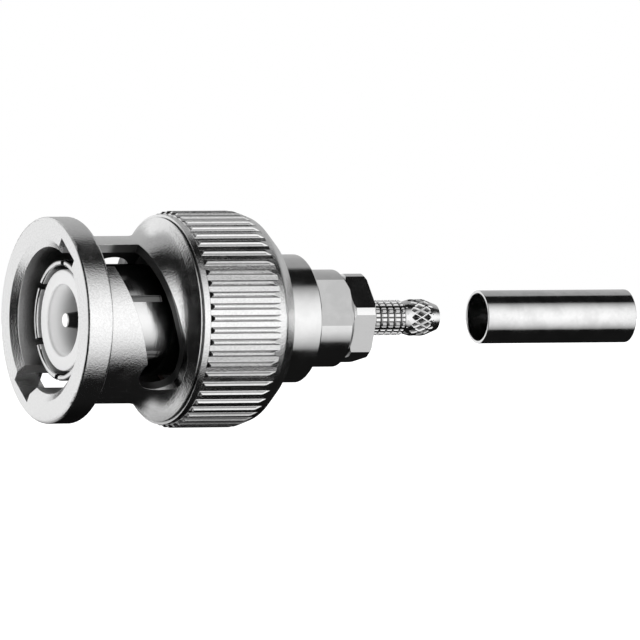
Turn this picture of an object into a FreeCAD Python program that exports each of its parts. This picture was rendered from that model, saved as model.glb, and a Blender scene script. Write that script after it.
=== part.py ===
import FreeCAD, Part
import math
import os

from FreeCAD import Vector

# Crimp-on bayonet coaxial plug for thin cable, with its loose crimp ferrule.
# The common axis is X. The mouth plane is X = 0 and faces -X, the cable leaves towards +X, +Z is up.
# An angle is counted about +X from straight up, so 90 is the -Y side.
# All sizes are in millimetres and degrees.

# Coupling nut, from the mouth backwards
mouth_gap = 0.87
lead_in_w = 0.55
lead_in_depth = 0.38
front_ring_r = 6.88
front_ring_len = 1.9
ring_edge_round = 0.26
barrel_wall = 0.675
barrel_len = 5.32
flare_run = 1.1
flare_radius = 2.4
shoulder_r = 6.8
shoulder_lip_w = 0.07
parting_groove_w = 0.1
parting_groove_depth = 0.14
grip_wall = 1.17
front_rim_drop = 0.22
front_rim_len = 0.42
grip_front_chamfer = 0.22
knurl_len = 5.25
taper_lead = 0.58
taper_len = 1.1
taper_drop = 0.4
taper_round = 0.8
dome_len = 1.15
dome_end_r = 5.6
dome_end_round = 0.3
rolled_lip_t = 1.2
lip_bore_gap = 0.22

# Straight knurl on the grip
knurl_count = 56
knurl_start_angle = 3.0
knurl_top_w = 0.68
knurl_floor_w = 0.34
knurl_depth = 0.2

# Bayonet slots, two alike
bayonet_count = 2
entry_angle = 38.5
entry_w = 2.4
entry_depth = 1.1
track_w = 2.82
track_lead = 11.16
track_widening = 0.5
track_full_angle = 58.0
track_level_angle = 62.0
track_level_drop = 0.58
track_sections = 8
detent_turn = 93.0
detent_r = 1.42
detent_recess = 0.83
ring_to_track = 0.84
cutter_reach = 0.6

# Sprung stack inside the grip
washer_bore_gap = 0.12
washer_w = 1.4
washer_rim_gap = 0.25
wave_t = 0.25
wave_rise = 0.42
wave_count = 3
wave_points = 8
spacer_t = 0.3
thrust_t = 0.4
face_gap = 0.02

# Main body
flange_gap = 0.35
flange_t = 1.9
spigot_socket_wall = 0.5
barrel_behind_nut = 2.7
barrel_edge_chamfer = 0.12
wrench_r = 3.25
wrench_len = 3.0
wrench_flat_across = 5.6
wrench_flat_angle = 68.6
wrench_edge_chamfer = 0.3
insulator_bore_r = 2.62
thread_r = 2.3
thread_len = 4.4

# Outer contact
contact_r = 4.03
contact_wall = 0.6
contact_recess = 1.1
contact_tip_round = 0.18
finger_count = 6
finger_slot_w = 0.48
finger_slot_len = 5.9
finger_slot_angle = 8.0
lip_wall = 0.38
contact_lip_len = 1.5
lip_slope_len = 0.3
shank_drop = 0.31
gasket_seat_rise = 0.27
gasket_seat_lead = 0.1
spigot_wall = 0.35
spigot_len = 2.2

# Gasket
gasket_t = 0.8
gasket_rim_gap = 0.08
gasket_fit = 0.02

# Insulators
insulator_gap = 0.06
insulator_recess = 0.22
cup_bore_r = 2.4
cup_depth = 5.6
cup_rim_round = 0.12
bush_gap = 0.03

# Centre contact
pin_r = 0.66
pin_tip_r = 0.46
pin_tip_round = 0.1
pin_taper_len = 1.6
pin_taper_blend = 0.6
pin_recess = 0.18
pin_collar_r = 1.15
pin_collar_t = 0.9
pin_barrel_r = 0.85
pin_barrel_len = 3.6
pin_wire_hole_r = 0.3
pin_wire_hole_len = 2.8
pin_fit = 0.02

# Crimp stem
press_fit = 0.01
hex_across = 5.6
hex_corner_r = 3.1
hex_len = 1.6
hex_corner_angle = 22.0
hex_front_chamfer = 0.12
hex_rear_chamfer = 0.12
post_r = 1.225
post_bore_r = 0.8
post_relief_r = 1.4
post_relief_len = 1.6
ring_part_r = 1.18
ring_part_len = 3.05
ring_cut_count = 24
ring_cut_depth = 0.1
ring_cut_half_w = 0.16
ring_groove_count = 5
ring_groove_pitch = 0.5
ring_groove_w = 0.24
ring_groove_depth = 0.12
waist_len = 0.24
waist_r = 1.05
diamond_part_len = 2.5
diamond_count = 14
diamond_pitch = 0.95
diamond_depth = 0.2
diamond_ridge_rise = 0.03
diamond_lead_len = 0.6
diamond_lead_round = 0.6
post_end_taper = 0.95
post_end_drop = 0.36
post_end_round = 1.0

# Crimp ferrule, drawn off the post
ferrule_r = 1.78
ferrule_wall = 0.19
ferrule_len = 11.1
ferrule_drawn_off = 3.2
ferrule_edge_round = 0.07

# Stations along X that several pieces share
ring_end = front_ring_len
flare_corner = ring_end + barrel_len
shoulder_face = flare_corner + flare_run
grip_start = shoulder_face + shoulder_lip_w + parting_groove_w
knurl_start = grip_start + front_rim_len
knurl_end = knurl_start + knurl_len
taper_start = knurl_end - taper_lead
taper_end = taper_start + taper_len
nut_end = taper_end + dome_len
lip_face = nut_end - rolled_lip_t
wave_height = wave_t + wave_rise
thrust_face = lip_face - face_gap - thrust_t
spacer_rear = thrust_face - 2 * face_gap - wave_height
spacer_front = spacer_rear - spacer_t
flange_rear = spacer_front - 2 * face_gap - wave_height
flange_front = flange_rear - flange_t
barrel_rear_end = nut_end + barrel_behind_nut
body_end = barrel_rear_end + wrench_len
hex_end = body_end + hex_len
waist_start = hex_end + ring_part_len
diamond_start = waist_start + waist_len
post_end = diamond_start + diamond_part_len
ferrule_start = post_end + ferrule_drawn_off
contact_bore_r = contact_r - contact_wall
spigot_r = contact_bore_r + spigot_wall
insulator_r = contact_bore_r - insulator_gap
spigot_end = flange_front + spigot_len
stem_front = body_end - thread_len
insulator_front = contact_recess + insulator_recess
cup_floor = insulator_front + cup_depth

# Radii that several pieces share
mouth_bore_r = contact_r + mouth_gap
lead_in_r = mouth_bore_r + lead_in_w
barrel_r = mouth_bore_r + barrel_wall
entry_floor_r = mouth_bore_r + entry_depth
gasket_r = mouth_bore_r - gasket_rim_gap
barrel_rear_r = spigot_r + spigot_socket_wall
washer_bore_r = barrel_rear_r + washer_bore_gap
washer_outer_r = washer_bore_r + washer_w
chamber_r = washer_outer_r + washer_rim_gap
grip_r = chamber_r + grip_wall
front_rim_r = grip_r - front_rim_drop
flange_r = chamber_r - flange_gap


def corner_arc(before, corner, after, radius):
    """Ends and middle of the arc that rounds a corner of a profile."""
    to_before = (before - corner).normalize()
    to_after = (after - corner).normalize()
    half = to_before.getAngle(to_after) / 2
    reach = radius / math.tan(half)
    middle = (to_before + to_after).normalize() * (radius / math.sin(half) - radius)
    return corner + to_before * reach, corner + middle, corner + to_after * reach


def profile_wire(corners):
    """Closed wire in the XZ plane from (x, r) or (x, r, rounding) corners."""
    points = [Vector(c[0], 0, c[1]) for c in corners]
    runs = []
    for i, c in enumerate(corners):
        if len(c) == 3:
            runs.append(corner_arc(points[i - 1], points[i], points[(i + 1) % len(points)], c[2]))
        else:
            runs.append((points[i],))
    edges = []
    for i, run in enumerate(runs):
        if len(run) == 3:
            edges.append(Part.Arc(*run).toShape())
        edges.append(Part.LineSegment(run[-1], runs[(i + 1) % len(runs)][0]).toShape())
    return Part.Wire(edges)


def turned(corners):
    """Solid turned about X from a closed profile of corners."""
    face = Part.Face(profile_wire(corners))
    return face.revolve(Vector(0, 0, 0), Vector(1, 0, 0), 360)


def tube(start, end, bore_r, outer_r):
    """Plain ring or tube between two stations."""
    return turned([(start, bore_r), (end, bore_r), (end, outer_r), (start, outer_r)])


def about_axis(shape, angle):
    """Copy of a shape turned about +X."""
    copy = shape.copy()
    copy.rotate(Vector(0, 0, 0), Vector(1, 0, 0), angle)
    return copy


def axial_prism(start, end, outline):
    """Prism along X whose (y, z) outline is drawn at straight up."""
    points = [Vector(start, y, z) for y, z in outline]
    face = Part.Face(Part.makePolygon(points + points[:1]))
    return face.extrude(Vector(end - start, 0, 0))


def nut_profile():
    """Nut profile: bore, washer chamber and rolled lip, then the outside from the domed rear to the mouth."""
    chamber_start = flange_front - gasket_t
    lip_bore_r = barrel_rear_r + lip_bore_gap
    groove_r = shoulder_r - parting_groove_depth
    return [
        (0, lead_in_r),
        (lead_in_depth, mouth_bore_r),
        (chamber_start, mouth_bore_r),
        (chamber_start, chamber_r),
        (lip_face, chamber_r),
        (lip_face, lip_bore_r),
        (nut_end, lip_bore_r),
        (nut_end, dome_end_r, dome_end_round),
        (taper_end, grip_r - taper_drop, taper_round),
        (taper_start, grip_r, taper_round),
        (knurl_start + grip_front_chamfer, grip_r),
        (knurl_start, front_rim_r),
        (grip_start, front_rim_r),
        (grip_start, groove_r),
        (shoulder_face + shoulder_lip_w, groove_r),
        (shoulder_face + shoulder_lip_w, shoulder_r),
        (shoulder_face, shoulder_r),
        (flare_corner, barrel_r, flare_radius),
        (ring_end, barrel_r),
        (ring_end, front_ring_r, ring_edge_round),
        (0, front_ring_r, ring_edge_round),
    ]


def knurl_cutter():
    """One trapezoid groove of the straight knurl, at straight up."""
    floor = knurl_floor_w / 2
    floor_r = grip_r - knurl_depth
    flank = (knurl_top_w - knurl_floor_w) / 2 / knurl_depth
    top_r = grip_r + knurl_depth / 2
    top = floor + flank * (top_r - floor_r)
    outline = [(-floor, floor_r), (floor, floor_r), (top, top_r), (-top, top_r)]
    return axial_prism(knurl_start, knurl_end, outline)


def track_front(angle):
    """Front edge of the bayonet track at an angle past the entry's middle."""
    return ring_end + ring_to_track + track_lead * angle / 360


def track_rear(angle):
    """Rear edge of the track, wider towards the entry and levelled off towards the detent."""
    short = max(0.0, 1 - angle / track_full_angle)
    level = max(0.0, (angle - track_level_angle) / (detent_turn - track_level_angle))
    return track_front(angle) + track_w + track_widening * short - track_level_drop * level ** 2


def entry_cutter():
    """Axial way in for a lug, with a flat floor under the front ring and a slanted end."""
    half = entry_w / 2
    spread = math.degrees(math.asin(half / barrel_r))
    near = track_rear(spread)
    far = track_rear(0) - (track_rear(spread) - track_rear(0))
    corners = [(-1, half), (far, half), (near, -half), (-1, -half)]
    points = [Vector(x, y, mouth_bore_r / 2) for x, y in corners]
    face = Part.Face(Part.makePolygon(points + points[:1]))
    return face.extrude(Vector(0, 0, entry_floor_r - mouth_bore_r / 2))


def track_cutter():
    """Helical band from the entry to the detent, lofted through radial sections."""
    inner = mouth_bore_r - cutter_reach
    outer = grip_r + cutter_reach
    sections = []
    for i in range(track_sections + 1):
        angle = detent_turn * i / track_sections
        front = track_front(angle)
        rear = track_rear(angle)
        corners = [(front, inner), (rear, inner), (rear, outer), (front, outer)]
        points = [Vector(x, 0, r) for x, r in corners]
        sections.append(about_axis(Part.makePolygon(points + points[:1]), angle))
    return Part.makeLoft(sections, True, False)


def detent_cutter():
    """Round pocket at the end of the track where a lug comes to rest."""
    middle = track_front(detent_turn) + detent_recess
    inner = mouth_bore_r - cutter_reach
    length = grip_r + cutter_reach - inner
    hole = Part.makeCylinder(detent_r, length, Vector(middle, 0, inner), Vector(0, 0, 1))
    return about_axis(hole, detent_turn)


def coupling_nut():
    nut = turned(nut_profile())
    turns = [knurl_start_angle + 360 * i / knurl_count for i in range(knurl_count)]
    cutters = [about_axis(knurl_cutter(), turn) for turn in turns]
    nut = nut.cut(Part.makeCompound(cutters))
    slot = entry_cutter().fuse([track_cutter(), detent_cutter()])
    for i in range(bayonet_count):
        nut = nut.cut(about_axis(slot, entry_angle + 360 * i / bayonet_count))
    return nut


def main_body():
    socket_r = spigot_r + press_fit
    thread_bore_r = thread_r + press_fit
    body = turned([
        (flange_front, socket_r),
        (spigot_end, socket_r),
        (spigot_end, insulator_bore_r),
        (stem_front, insulator_bore_r),
        (stem_front, thread_bore_r),
        (body_end, thread_bore_r),
        (body_end, wrench_r - wrench_edge_chamfer),
        (body_end - wrench_edge_chamfer, wrench_r),
        (barrel_rear_end, wrench_r),
        (barrel_rear_end, barrel_rear_r - barrel_edge_chamfer),
        (barrel_rear_end - barrel_edge_chamfer, barrel_rear_r),
        (flange_rear, barrel_rear_r),
        (flange_rear, flange_r),
        (flange_front, flange_r),
    ])
    for side in (0, 180):
        flat = axial_prism(barrel_rear_end, body_end + 1, [
            (-wrench_r, wrench_flat_across / 2),
            (wrench_r, wrench_flat_across / 2),
            (wrench_r, wrench_r + 1),
            (-wrench_r, wrench_r + 1),
        ])
        body = body.cut(about_axis(flat, wrench_flat_angle + side))
    return body


def outer_contact():
    """Slotted contact: thin fingers with a raised lip at their tips, and the gasket's seat behind."""
    seat_r = contact_r + gasket_seat_rise
    seat_start = flange_front - gasket_t - gasket_seat_lead
    lip_bore_r = contact_r - lip_wall
    lip_end = contact_recess + contact_lip_len
    shank_r = contact_r - shank_drop
    contact = turned([
        (contact_recess, lip_bore_r, contact_tip_round),
        (lip_end, lip_bore_r),
        (lip_end, contact_bore_r),
        (spigot_end, contact_bore_r),
        (spigot_end, spigot_r),
        (flange_front, spigot_r),
        (flange_front, seat_r),
        (seat_start, seat_r),
        (seat_start, shank_r),
        (lip_end + lip_slope_len, shank_r),
        (lip_end, contact_r),
        (contact_recess, contact_r, contact_tip_round),
    ])
    half = finger_slot_w / 2
    slot_end = contact_recess + finger_slot_len
    inner = contact_bore_r / 2
    outer = contact_r + 1
    outline = [(-half, inner), (half, inner), (half, outer), (-half, outer)]
    slot = axial_prism(0, slot_end, outline)
    slots = [about_axis(slot, finger_slot_angle + 360 * i / finger_count) for i in range(finger_count)]
    return contact.cut(Part.makeCompound(slots))


def gasket():
    bore_r = contact_r + gasket_seat_rise + gasket_fit
    return tube(flange_front - gasket_t, flange_front, bore_r, gasket_r)


def front_insulator():
    hole_r = pin_r + pin_fit
    collar_r = pin_collar_r + pin_fit
    collar_start = spigot_end - pin_collar_t
    return turned([
        (insulator_front, cup_bore_r, cup_rim_round),
        (cup_floor, cup_bore_r),
        (cup_floor, hole_r),
        (collar_start, hole_r),
        (collar_start, collar_r),
        (spigot_end, collar_r),
        (spigot_end, insulator_r),
        (insulator_front, insulator_r, cup_rim_round),
    ])


def rear_insulator():
    bore_r = pin_barrel_r + pin_fit
    outer_r = insulator_bore_r - bush_gap
    return tube(spigot_end, stem_front - face_gap, bore_r, outer_r)


def centre_contact():
    tip = insulator_front + pin_recess
    collar_end = spigot_end - face_gap
    collar_start = spigot_end - pin_collar_t + face_gap
    barrel_end_x = collar_end + pin_barrel_len
    hole_start = barrel_end_x - pin_wire_hole_len
    return turned([
        (tip, 0),
        (tip, pin_tip_r, pin_tip_round),
        (tip + pin_taper_len, pin_r, pin_taper_blend),
        (collar_start, pin_r),
        (collar_start, pin_collar_r),
        (collar_end, pin_collar_r),
        (collar_end, pin_barrel_r),
        (barrel_end_x, pin_barrel_r),
        (barrel_end_x, pin_wire_hole_r),
        (hole_start, pin_wire_hole_r),
        (hole_start, 0),
    ])


def wave_curve(radius, level):
    """Closed wavy curve round X at one radius."""
    points = []
    steps = wave_points * wave_count
    for i in range(steps):
        turn = 2 * math.pi * i / steps
        x = level + wave_rise / 2 * math.cos(wave_count * turn)
        points.append(Vector(x, -radius * math.sin(turn), radius * math.cos(turn)))
    curve = Part.BSplineCurve()
    curve.interpolate(points, True)
    return curve.toShape()


def wave_washer(start):
    """Wavy spring ring whose lowest faces stand at one station."""
    low = start + wave_rise / 2
    edges = [[wave_curve(r, low + t) for r in (washer_bore_r, washer_outer_r)] for t in (0, wave_t)]
    faces = [
        Part.makeRuledSurface(edges[0][0], edges[0][1]),
        Part.makeRuledSurface(edges[1][0], edges[1][1]),
        Part.makeRuledSurface(edges[0][0], edges[1][0]),
        Part.makeRuledSurface(edges[0][1], edges[1][1]),
    ]
    shell = Part.makeCompound(faces)
    shell.sewShape()
    solid = Part.Solid(shell.Shells[0])
    if solid.Volume < 0:
        solid.reverse()
    return solid


def spacer_washer():
    return tube(spacer_front, spacer_rear, washer_bore_r, washer_outer_r)


def thrust_washer():
    return tube(thrust_face, thrust_face + thrust_t, washer_bore_r, washer_outer_r)


def lattice_point(row, step, radius):
    """Point of the diamond lattice, half a pitch a row and half a diamond a step."""
    angle = math.pi * step / diamond_count
    x = diamond_start + (row - 2) * diamond_pitch / 2
    return Vector(x, -radius * math.sin(angle), radius * math.cos(angle))


def diamond_bar():
    """Round bar covered in four-sided pits with ridges between, longer than needed at both ends."""
    rows = 2 * math.ceil(diamond_part_len / diamond_pitch) + 4
    ridge_r = post_r + diamond_ridge_rise
    triangles = []
    for row in range(1, rows):
        for step in range(row % 2, 2 * diamond_count, 2):
            pit = lattice_point(row, step, post_r - diamond_depth)
            ring = [(row - 1, step), (row, step + 1), (row + 1, step), (row, step - 1)]
            ring = [lattice_point(r, s, ridge_r) for r, s in ring]
            triangles += [(pit, ring[i], ring[(i + 1) % 4]) for i in range(4)]
    for row, inner in ((0, 1), (rows, rows - 1)):
        hub = lattice_point(row, 0, 0)
        for step in range((row + 1) % 2, 2 * diamond_count, 2):
            corner = lattice_point(row, step, ridge_r)
            for side in (-1, 1):
                triangles.append((hub, corner, lattice_point(inner, step + side, ridge_r)))
    faces = [Part.Face(Part.makePolygon([a, b, c, a])) for a, b, c in triangles]
    skin = Part.makeCompound(faces)
    skin.sewShape()
    bar = Part.Solid(skin.Shells[0])
    if bar.Volume < 0:
        bar.reverse()
    return bar


def diamond_part():
    """Diamond-knurled end of the post, its ridges flattened and its ends drawn in by the envelope."""
    envelope = turned([
        (diamond_start, 0),
        (diamond_start, waist_r),
        (diamond_start + diamond_lead_len, post_r, diamond_lead_round),
        (post_end - post_end_taper, post_r, post_end_round),
        (post_end, post_r - post_end_drop),
        (post_end, 0),
    ])
    return diamond_bar().common(envelope)


def stem_core():
    """Spigot, ring-grooved part and waist of the crimp stem, the rings cut into short lengths."""
    half = ring_groove_w / 2
    groove_r = ring_part_r - ring_groove_depth
    outline = [(stem_front, 0), (stem_front, thread_r), (body_end, thread_r), (body_end, ring_part_r)]
    first = waist_start - (ring_groove_count - 0.5) * ring_groove_pitch
    for i in range(ring_groove_count):
        middle = first + i * ring_groove_pitch
        outline += [(middle - half, ring_part_r), (middle, groove_r), (middle + half, ring_part_r)]
    outline += [(waist_start, ring_part_r), (waist_start + waist_len / 4, waist_r)]
    outline += [(diamond_start, waist_r), (diamond_start, 0)]
    core = turned(outline)
    top_r = ring_part_r + ring_cut_depth
    corners = [(0, ring_part_r - ring_cut_depth), (ring_cut_half_w, top_r), (-ring_cut_half_w, top_r)]
    cut = axial_prism(hex_end, waist_start + waist_len / 2, corners)
    cuts = [about_axis(cut, 360 * i / ring_cut_count) for i in range(ring_cut_count)]
    return core.cut(Part.makeCompound(cuts))


def hex_head():
    """Small hexagon with its corners turned off."""
    blank = turned([
        (body_end, 0),
        (body_end, hex_corner_r - hex_front_chamfer),
        (body_end + hex_front_chamfer, hex_corner_r),
        (hex_end - hex_rear_chamfer, hex_corner_r),
        (hex_end, hex_corner_r - hex_rear_chamfer),
        (hex_end, 0),
    ])
    corner = hex_across / math.sqrt(3)
    turns = [math.radians(60 * i) for i in range(6)]
    prism = axial_prism(body_end, hex_end, [(-corner * math.sin(t), corner * math.cos(t)) for t in turns])
    return blank.common(about_axis(prism, hex_corner_angle))


def crimp_stem():
    front = Vector(stem_front, 0, 0)
    bore = Part.makeCylinder(post_bore_r, post_end - stem_front, front, Vector(1, 0, 0))
    relief = Part.makeCylinder(post_relief_r, post_relief_len, front, Vector(1, 0, 0))
    return stem_core().fuse([hex_head(), diamond_part()]).cut([bore, relief])


def crimp_ferrule():
    end = ferrule_start + ferrule_len
    bore_r = ferrule_r - ferrule_wall
    return turned([
        (ferrule_start, bore_r, ferrule_edge_round),
        (end, bore_r, ferrule_edge_round),
        (end, ferrule_r, ferrule_edge_round),
        (ferrule_start, ferrule_r, ferrule_edge_round),
    ])


pieces = {
    "coupling_nut": coupling_nut(),
    "main_body": main_body(),
    "outer_contact": outer_contact(),
    "gasket": gasket(),
    "front_insulator": front_insulator(),
    "rear_insulator": rear_insulator(),
    "centre_contact": centre_contact(),
    "front_wave_washer": wave_washer(flange_rear + face_gap),
    "rear_wave_washer": wave_washer(spacer_rear + face_gap),
    "spacer_washer": spacer_washer(),
    "thrust_washer": thrust_washer(),
    "crimp_stem": crimp_stem(),
    "crimp_ferrule": crimp_ferrule(),
}

os.makedirs("parts", exist_ok=True)
for name, shape in pieces.items():
    shape.exportStep(f"parts/{name}.step")
    print(name, shape.isValid(), len(shape.Solids), round(shape.Volume, 3))
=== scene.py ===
import math

import bpy
from mathutils import Matrix, Vector


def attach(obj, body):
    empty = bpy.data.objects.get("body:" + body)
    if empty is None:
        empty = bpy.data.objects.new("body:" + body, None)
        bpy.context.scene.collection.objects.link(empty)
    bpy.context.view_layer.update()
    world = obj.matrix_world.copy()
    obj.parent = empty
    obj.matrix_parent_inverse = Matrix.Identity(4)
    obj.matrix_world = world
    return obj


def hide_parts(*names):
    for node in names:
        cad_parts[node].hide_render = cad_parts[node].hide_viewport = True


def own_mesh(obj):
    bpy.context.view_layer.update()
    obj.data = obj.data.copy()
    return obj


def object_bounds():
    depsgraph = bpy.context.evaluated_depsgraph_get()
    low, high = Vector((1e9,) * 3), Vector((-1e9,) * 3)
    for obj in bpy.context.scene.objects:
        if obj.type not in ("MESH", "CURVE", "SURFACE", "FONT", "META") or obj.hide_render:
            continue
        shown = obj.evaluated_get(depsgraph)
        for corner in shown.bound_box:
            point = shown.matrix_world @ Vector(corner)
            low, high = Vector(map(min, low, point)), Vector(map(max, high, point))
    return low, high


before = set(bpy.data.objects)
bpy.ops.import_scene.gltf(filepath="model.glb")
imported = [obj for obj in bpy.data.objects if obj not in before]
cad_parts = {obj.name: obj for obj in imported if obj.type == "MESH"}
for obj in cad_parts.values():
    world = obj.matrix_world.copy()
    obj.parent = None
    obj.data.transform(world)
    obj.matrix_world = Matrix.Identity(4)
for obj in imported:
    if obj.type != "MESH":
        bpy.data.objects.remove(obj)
cad_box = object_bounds()

MM = 0.001

# Camera at the photograph's viewing angle: level, from the mouth's side, rolled a little
CAMERA_AZIMUTH = math.radians(-26.1)
CAMERA_ROLL = 0.0079
CAMERA_DISTANCE = 1.5
CAMERA_NEAR = 0.01
CAMERA_FAR = 200
PHOTO_WIDTH = 42.75 * MM
PHOTO_CENTRE = Vector((20.39 * MM, 0, -0.12 * MM))
SENSOR = 36.0

# Studio: degrees about the connector's axis, 0 towards the camera's side and 90 straight up
FRONT_LOW = -59.0
FRONT_HIGH = 61.0
FRONT_REACH = 66.0
FRONT_LEFT_END = 40.0
FRONT_LEFT_EDGE = 6.0
BACK_START = 102.0
BACK_TOP = 165.0
BAND_EDGE = 2.5

# Back wall and soft light, laid out by the x, y and z of a ray's direction
WALL_X = (0.3, 0.1)
WALL_Y = (0.1, 0.4)
WALL_TOP = 0.75
WALL_EDGE = 0.08
SOFT_Z = (-0.9, 0.4)

# How bright each part of the studio is
FRONT_LIGHT = 1.1
BACK_LIGHT = 0.34
BACK_RISE = 0.14
WALL_LIGHT = 0.86
DARK_LIGHT = 0.008
SOFT_LIGHT = 0.95
SOFT_LIGHT_BELOW = SOFT_LIGHT * 0.45
WHITE = 1.0

# Floor under the part
FLOOR_GAP = 0.03 * MM
FLOOR_SIZE = 200

# Noise on plate as scale per metre, detail and roughness; the marks are stretched round the axis
GRAIN = (7500.0, 3.0, 0.6)
CLOUD = (700.0, 4.0, 0.6)
MARKS = (1.0, 2.0, 0.5)
MARKS_STRETCH = (12000.0, 260.0, 260.0)
BUMP_HEIGHT = 0.2 * MM
BEVEL_SAMPLES = 6

# Where noise turns from low to high, and how far cloud changes the gloss
SPECK_SPAN = (0.35, 0.65)
GLOSS_SPAN = (0.3, 0.7)
GLOSS_LOW = 0.75
GLOSS_HIGH = 1.3

# Painted shade in corners, found by ambient occlusion: how far a wall is felt, between which amounts, and
# how dark the painted shade gets
SHUT_IN_REACH = 2.5 * MM
SHUT_IN_SPAN = (0.1, 0.7)
SHUT_IN_PAINTED_SHADE = 0.25
SHUT_IN_SAMPLES = 8

# From here on, stations are millimetres behind the mouth and radii are millimetres from the axis.
# The nut's slots and bore: painted shade on the slots' end walls and deep in the bore, and painted shade
# with rougher plate along the bore behind its lead-in
SLOT_START = 2.1
SLOT_END = 8.25
SLOT_INNER = 5.5
SLOT_PAINTED_SHADE = 0.16
BORE_START = 0.39
BORE_DARK_FROM = 3.4
BORE_DARK_FADE = 1.0
BORE_ROUGH = 0.5
BORE_PAINTED_SHADE = 0.65
MASK_EDGE = 0.05
END_ON = (0.85, 0.95)

# Painted shade in the hollows of the straight knurl and of the post's rings and diamonds: the line of
# their tops as station and radius, the radius where it ends, the depths between which it darkens, and
# what is left at the bottom
KNURL = {
    "tops": ((8.95, 7.22), (13.62, 7.22), (14.2, 7.0)),
    "floor": 7.03,
    "shallow": 0.07,
    "deep": 0.11,
    "shade": 0.4,
}
POST = {
    "tops": ((23.13, 1.18), (26.18, 1.18), (26.42, 1.05), (27.02, 1.225), (27.97, 1.225), (28.92, 0.865)),
    "floor": 0.0,
    "shallow": 0.025,
    "deep": 0.11,
    "shade": 0.18,
}
PATTERN_EDGE = 0.03

# Centre contact: painted light glowing on the bright tip, painted shade on the dark shaft behind it
PIN_TIP_END = 1.52
PIN_TIP_FADE = 0.1
PIN_TIP_PAINTED_GLOW = 0.45
PIN_SHAFT_PAINTED_SHADE = 0.03

# White cup: the stations between which a painted shade darkens it, its greys there, and the painted glow
# behind its rim
CUP_START = 1.3
CUP_END = 4.2
CUP_PALE = 0.86
CUP_PAINTED_SHADE = 0.4
CUP_PAINTED_GLOW = 0.22
CUP_PAINTED_GLOW_RISE = (CUP_START + 0.1, CUP_START + 0.4)
CUP_PAINTED_GLOW_FALL = (CUP_START + 0.5, CUP_START + 1.8)


class Nodes:
    """Short calls for the nodes of one material or world."""

    def __init__(self, tree):
        self.tree = tree
        tree.nodes.clear()

    def add(self, kind, **values):
        node = self.tree.nodes.new(kind)
        for name, value in values.items():
            setattr(node, name, value)
        return node

    def put(self, value, socket):
        if isinstance(value, bpy.types.NodeSocket):
            self.tree.links.new(value, socket)
        else:
            socket.default_value = value

    def fill(self, node, *values):
        """Put values on a node's first inputs and return its first output."""
        for value, socket in zip(values, node.inputs):
            self.put(value, socket)
        return node.outputs[0]

    def math(self, operation, *values):
        return self.fill(self.add("ShaderNodeMath", operation=operation), *values)

    def times(self, first, *others):
        """Product of two or more values."""
        for other in others:
            first = self.math("MULTIPLY", first, other)
        return first

    def ramp(self, value, start, end, low, high):
        """Straight change from low to high while value goes from start to end."""
        return self.fill(self.add("ShaderNodeMapRange"), value, start, end, low, high)

    def step(self, value, start, end, low=0.0, high=1.0):
        """Smooth change from low to high while value goes from start to end."""
        node = self.add("ShaderNodeMapRange", interpolation_type="SMOOTHSTEP")
        return self.fill(node, value, start, end, low, high)

    def window(self, value, start, end, edge):
        """1 between start and end, fading to 0 outside over the edge."""
        rise = self.step(value, start - edge, start + edge)
        fall = self.step(value, end - edge, end + edge, 1.0, 0.0)
        return self.times(rise, fall)

    def noise(self, vector, scale, detail, rough):
        node = self.add("ShaderNodeTexNoise")
        node.inputs["Scale"].default_value = scale
        node.inputs["Detail"].default_value = detail
        node.inputs["Roughness"].default_value = rough
        self.put(vector, node.inputs["Vector"])
        return node.outputs["Fac"]

    def split(self, vector):
        """The x, y and z of a vector."""
        node = self.add("ShaderNodeSeparateXYZ")
        self.put(vector, node.inputs[0])
        return node.outputs

    def place(self):
        """Station of a point along the connector's axis, and its radius from that axis."""
        x, y, z = self.split(self.coordinate("Object"))
        return x, self.math("SQRT", self.math("MULTIPLY_ADD", y, y, self.times(z, z)))

    def coordinate(self, name):
        return self.add("ShaderNodeTexCoord").outputs[name]

    def grey(self, level):
        """Colour socket of a grey level."""
        return self.fill(self.add("ShaderNodeCombineColor"), level, level, level)

    def output(self, kind, shader):
        self.put(shader.outputs[0], self.add(kind).inputs[0])


def studio_world():
    """White room to the camera; softboxes, gaps and a dark bench to everything else."""
    world = bpy.data.worlds.new("studio")
    world.use_nodes = True
    n = Nodes(world.node_tree)
    x, y, z = n.split(n.coordinate("Generated"))
    front = n.times(y, -1.0)
    turn = n.times(n.math("ARCTAN2", z, front), math.degrees(1))
    left = n.times(n.math("ARCTAN2", n.times(x, -1.0), front), math.degrees(1))

    band = n.window(turn, FRONT_LOW, FRONT_HIGH, BAND_EDGE)
    left_end = n.step(left, FRONT_LEFT_END - FRONT_LEFT_EDGE, FRONT_LEFT_END + FRONT_LEFT_EDGE, 1.0, 0.0)
    off_centre = n.math("DIVIDE", turn, FRONT_REACH)
    fall = n.math("SUBTRACT", 1.0, n.times(off_centre, off_centre))
    softbox = n.times(band, left_end, n.times(n.math("MAXIMUM", fall, 0.0), FRONT_LIGHT))

    upper_back = n.step(turn, BACK_START - BAND_EDGE, BACK_START + BAND_EDGE, 0.0, BACK_LIGHT)
    upper_back = n.math("ADD", upper_back, n.step(turn, BACK_START, BACK_TOP, 0.0, BACK_RISE))
    height = n.window(z, -WALL_TOP, WALL_TOP, WALL_EDGE)
    wall = n.times(n.step(x, *WALL_X), n.step(y, *WALL_Y), height, WALL_LIGHT)
    back = n.math("MAXIMUM", upper_back, wall)

    strength = n.math("ADD", n.math("ADD", softbox, back), DARK_LIGHT)
    rays = n.add("ShaderNodeLightPath").outputs
    soft = n.step(z, *SOFT_Z, SOFT_LIGHT_BELOW, SOFT_LIGHT)
    for share, value in ((rays["Is Diffuse Ray"], soft), (rays["Is Camera Ray"], WHITE)):
        kept = n.times(strength, n.math("SUBTRACT", 1.0, share))
        strength = n.math("MULTIPLY_ADD", share, value, kept)
    background = n.add("ShaderNodeBackground")
    background.inputs["Color"].default_value = (1, 1, 1, 1)
    n.put(strength, background.inputs["Strength"])
    n.output("ShaderNodeOutputWorld", background)
    bpy.context.scene.world = world


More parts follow.
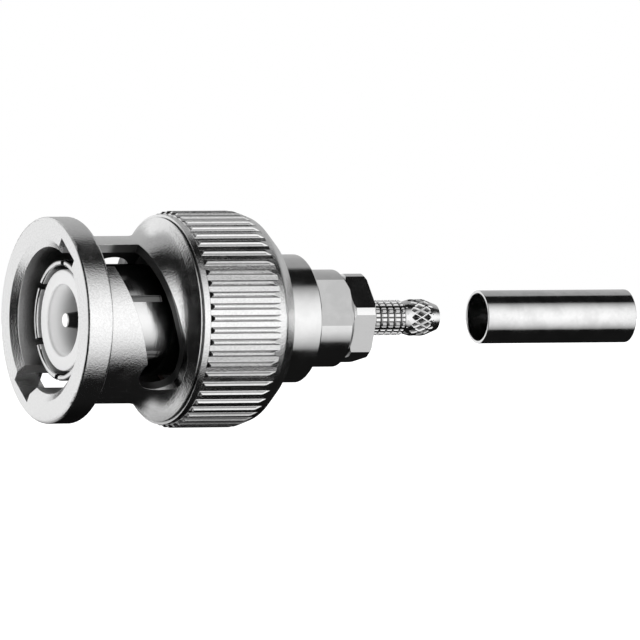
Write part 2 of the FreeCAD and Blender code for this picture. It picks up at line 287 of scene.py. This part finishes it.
def place_camera():
    data = bpy.data.cameras.new("camera")
    camera = bpy.data.objects.new("camera", data)
    bpy.context.scene.collection.objects.link(camera)
    back = Vector((math.sin(CAMERA_AZIMUTH), -math.cos(CAMERA_AZIMUTH), 0))
    right = Vector((math.cos(CAMERA_AZIMUTH), math.sin(CAMERA_AZIMUTH), 0))
    up = Vector((0, 0, 1))
    rolled_right = right * math.cos(CAMERA_ROLL) - up * math.sin(CAMERA_ROLL)
    rolled_up = up * math.cos(CAMERA_ROLL) + right * math.sin(CAMERA_ROLL)
    turn = Matrix((rolled_right, rolled_up, back)).transposed()
    camera.matrix_world = Matrix.Translation(PHOTO_CENTRE + back * CAMERA_DISTANCE) @ turn.to_4x4()
    data.sensor_width = SENSOR
    data.lens = SENSOR * CAMERA_DISTANCE / PHOTO_WIDTH
    data.clip_start = CAMERA_NEAR
    data.clip_end = CAMERA_FAR
    bpy.context.scene.camera = camera


def add_floor():
    bpy.ops.mesh.primitive_plane_add(size=FLOOR_SIZE, location=(0, 0, cad_box[0].z - FLOOR_GAP))
    floor = bpy.context.object
    floor.name = "floor"
    floor.data.materials.append(plain("floor", (0.4, 0.4, 0.4), 0.9, glow=0.9))
    floor.visible_glossy = False


def along_axis(n, start, end, low, high):
    """Value that changes from low to high between two stations."""
    station, _ = n.place()
    return n.step(station, start * MM, end * MM, low, high)


def hollows(n, tops, floor, shallow, deep, shade):
    """Painted shade: 1 on a pattern's tops, and down to the shade in its hollows."""
    station, radius = n.place()
    line = tops[0][1] * MM
    for (start, low), (end, high) in zip(tops, tops[1:]):
        line = n.math("ADD", line, n.ramp(station, start * MM, end * MM, 0.0, (high - low) * MM))
    depth = n.math("SUBTRACT", line, radius)
    painted_shade = n.step(depth, shallow * MM, deep * MM, 0.0, 1.0 - shade)
    above_floor = n.step(radius, floor * MM, (floor + PATTERN_EDGE) * MM)
    along = n.window(station, tops[0][0] * MM, tops[-1][0] * MM, PATTERN_EDGE * MM)
    return n.math("SUBTRACT", 1.0, n.times(painted_shade, above_floor, along))


def in_bore(n):
    """Station of a point, and 1 where it is inside the nut's bore behind its lead-in."""
    station, radius = n.place()
    inside = n.step(radius, SLOT_INNER * MM, (SLOT_INNER + MASK_EDGE) * MM, 1.0, 0.0)
    behind = n.step(station, BORE_START * MM, (BORE_START + MASK_EDGE) * MM)
    return station, n.times(inside, behind)


def painted_slot_shade_mask(n):
    """Mask of painted shade: 1 deep in the nut's bore and on the end walls of its slots, 0 on its
    outside.
    """
    station, inside = in_bore(n)
    deep = n.step(station, BORE_DARK_FROM * MM, (BORE_DARK_FROM + BORE_DARK_FADE) * MM)
    facing = n.split(n.coordinate("Normal"))[0]
    end_wall = n.step(n.math("ABSOLUTE", facing), *END_ON)
    along = n.window(station, SLOT_START * MM, SLOT_END * MM, MASK_EDGE * MM)
    return n.times(n.math("MAXIMUM", n.times(inside, deep), end_wall), along)


def new_material(name):
    """Material with one shader, the calls for its nodes, and the shader's inputs."""
    material = bpy.data.materials.new(name)
    material.use_nodes = True
    n = Nodes(material.node_tree)
    shader = n.add("ShaderNodeBsdfPrincipled")
    n.output("ShaderNodeOutputMaterial", shader)
    return material, n, shader.inputs


def plate_normal(n, grain, peel, turning, soft_edge):
    """Normal with softened edges, a little orange peel and faint marks round the axis."""
    stretch = n.add("ShaderNodeVectorMath", operation="MULTIPLY")
    marks = n.noise(n.fill(stretch, n.coordinate("Object"), MARKS_STRETCH), *MARKS)
    normal = None
    if soft_edge is not None:
        bevel = n.add("ShaderNodeBevel", samples=BEVEL_SAMPLES)
        bevel.inputs["Radius"].default_value = soft_edge * MM
        normal = bevel.outputs[0]
    for height, strength in ((grain, peel), (marks, turning)):
        bump = n.add("ShaderNodeBump")
        bump.inputs["Strength"].default_value = strength
        bump.inputs["Distance"].default_value = BUMP_HEIGHT
        n.put(height, bump.inputs["Height"])
        if normal is not None:
            n.put(normal, bump.inputs["Normal"])
        normal = bump.outputs[0]
    return normal


def metal(name, shade, rough, peel, turning, soft_edge=None, speck=0.0, cloudy=0.0,
          pattern=None, slots=False, pin_light_and_shade=False):
    """Bright plate over turned metal, with grain and cloudy gloss; painted shade in corners, slots, bore
    and hollows, and painted light and shade on the pin.
    """
    material, n, inputs = new_material(name)
    inputs["Metallic"].default_value = 1.0
    where = n.coordinate("Object")
    grain = n.noise(where, *GRAIN)
    cloud = n.noise(where, *CLOUD)

    # Painted shade: the base grey darkens where walls are near
    shut_in = n.add("ShaderNodeAmbientOcclusion", samples=SHUT_IN_SAMPLES)
    shut_in.inputs["Distance"].default_value = SHUT_IN_REACH
    levels = [n.step(shut_in.outputs["AO"], *SHUT_IN_SPAN, shade * SHUT_IN_PAINTED_SHADE, shade)]
    blur = n.step(cloud, *GLOSS_SPAN, rough * GLOSS_LOW, rough * GLOSS_HIGH)
    # Painted shade on the slots' end walls and in the bore; the bore's plate is also rougher
    if slots:
        bore = in_bore(n)[1]
        levels.append(n.step(painted_slot_shade_mask(n), 0.0, 1.0, 1.0, SLOT_PAINTED_SHADE))
        levels.append(n.step(bore, 0.0, 1.0, 1.0, BORE_PAINTED_SHADE))
        blur = n.math("MAXIMUM", blur, n.times(bore, BORE_ROUGH))
    # Painted shade in the knurl's or post's hollows
    if pattern is not None:
        levels.append(hollows(n, **pattern))
    for height, depth in ((grain, speck), (cloud, cloudy)):
        if depth > 0:
            levels.append(n.step(height, *SPECK_SPAN, 1.0 - depth, 1.0))
    # Painted light on the pin's tip, as a glow, and painted shade on its shaft
    if pin_light_and_shade:
        tip = (PIN_TIP_END, PIN_TIP_END + PIN_TIP_FADE)
        levels.append(along_axis(n, *tip, 1.0, PIN_SHAFT_PAINTED_SHADE))
        inputs["Emission Color"].default_value = (1, 1, 1, 1)
        n.put(along_axis(n, *tip, PIN_TIP_PAINTED_GLOW, 0.0), inputs["Emission Strength"])

    n.put(n.grey(n.times(*levels)), inputs["Base Color"])
    n.put(blur, inputs["Roughness"])
    n.put(plate_normal(n, grain, peel, turning, soft_edge), inputs["Normal"])
    return material


def plain(name, colour, rough, glow=0.0):
    material, _, inputs = new_material(name)
    inputs["Base Color"].default_value = (*colour, 1)
    inputs["Roughness"].default_value = rough
    inputs["Emission Color"].default_value = (1, 1, 1, 1)
    inputs["Emission Strength"].default_value = glow
    return material


def cup_plastic(name, rough):
    """White plastic with painted shade darkening it down the cup, and a painted glow behind its rim."""
    material, n, inputs = new_material(name)
    # Painted shade down the cup, then painted light glowing behind the rim
    n.put(n.grey(along_axis(n, CUP_START, CUP_END, CUP_PALE, CUP_PAINTED_SHADE)), inputs["Base Color"])
    inputs["Roughness"].default_value = rough
    inputs["Emission Color"].default_value = (1, 1, 1, 1)
    rise = along_axis(n, *CUP_PAINTED_GLOW_RISE, 0.0, CUP_PAINTED_GLOW)
    fall = along_axis(n, *CUP_PAINTED_GLOW_FALL, 1.0, 0.0)
    n.put(n.times(rise, fall), inputs["Emission Strength"])
    return material


def dress(node, material):
    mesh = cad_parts[node].data
    mesh.materials.clear()
    mesh.materials.append(material)


def sprung(node, body):
    """Rigid stand-in for a wave washer, attached to the body in place of the CAD piece; the real washer
    flattens towards its front face as the nut is drawn forward.
    """
    piece = bpy.data.objects.new(node + "_sprung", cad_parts[node].data.copy())
    bpy.context.scene.collection.objects.link(piece)
    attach(piece, body)
    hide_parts(node)
    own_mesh(piece)


white_plastic = cup_plastic("white_plastic", 0.4)
spring_metal = metal("spring_metal", 0.55, 0.25, peel=0.03, turning=0.03)
DRESS = {
    "coupling_nut": metal("nut_plate", 0.94, 0.2, peel=0.1, turning=0.03, soft_edge=0.04, speck=0.08,
                          pattern=KNURL, slots=True),
    "main_body": metal("body_plate", 0.88, 0.14, peel=0.008, turning=0.03, cloudy=0.08),
    "outer_contact": metal("contact_plate", 0.88, 0.17, peel=0.01, turning=0.03),
    "centre_contact": metal("pin_plate", 0.95, 0.15, peel=0.004, turning=0.02, pin_light_and_shade=True),
    "crimp_stem": metal("stem_plate", 0.9, 0.15, peel=0.015, turning=0.02, pattern=POST),
    "crimp_ferrule": metal("ferrule_plate", 0.9, 0.12, peel=0.015, turning=0.01, cloudy=0.14),
    "front_insulator": white_plastic,
    "rear_insulator": white_plastic,
    "front_wave_washer": spring_metal,
    "rear_wave_washer": spring_metal,
    "spacer_washer": spring_metal,
    "thrust_washer": spring_metal,
    "gasket": plain("seal_rubber", (0.05, 0.03, 0.025), 0.6),
}
for node, material in DRESS.items():
    dress(node, material)
for node, body in (("front_wave_washer", "connector_body"), ("rear_wave_washer", "spacer")):
    sprung(node, body)

studio_world()
place_camera()
add_floor()

bpy.context.scene.view_settings.view_transform = "Standard"
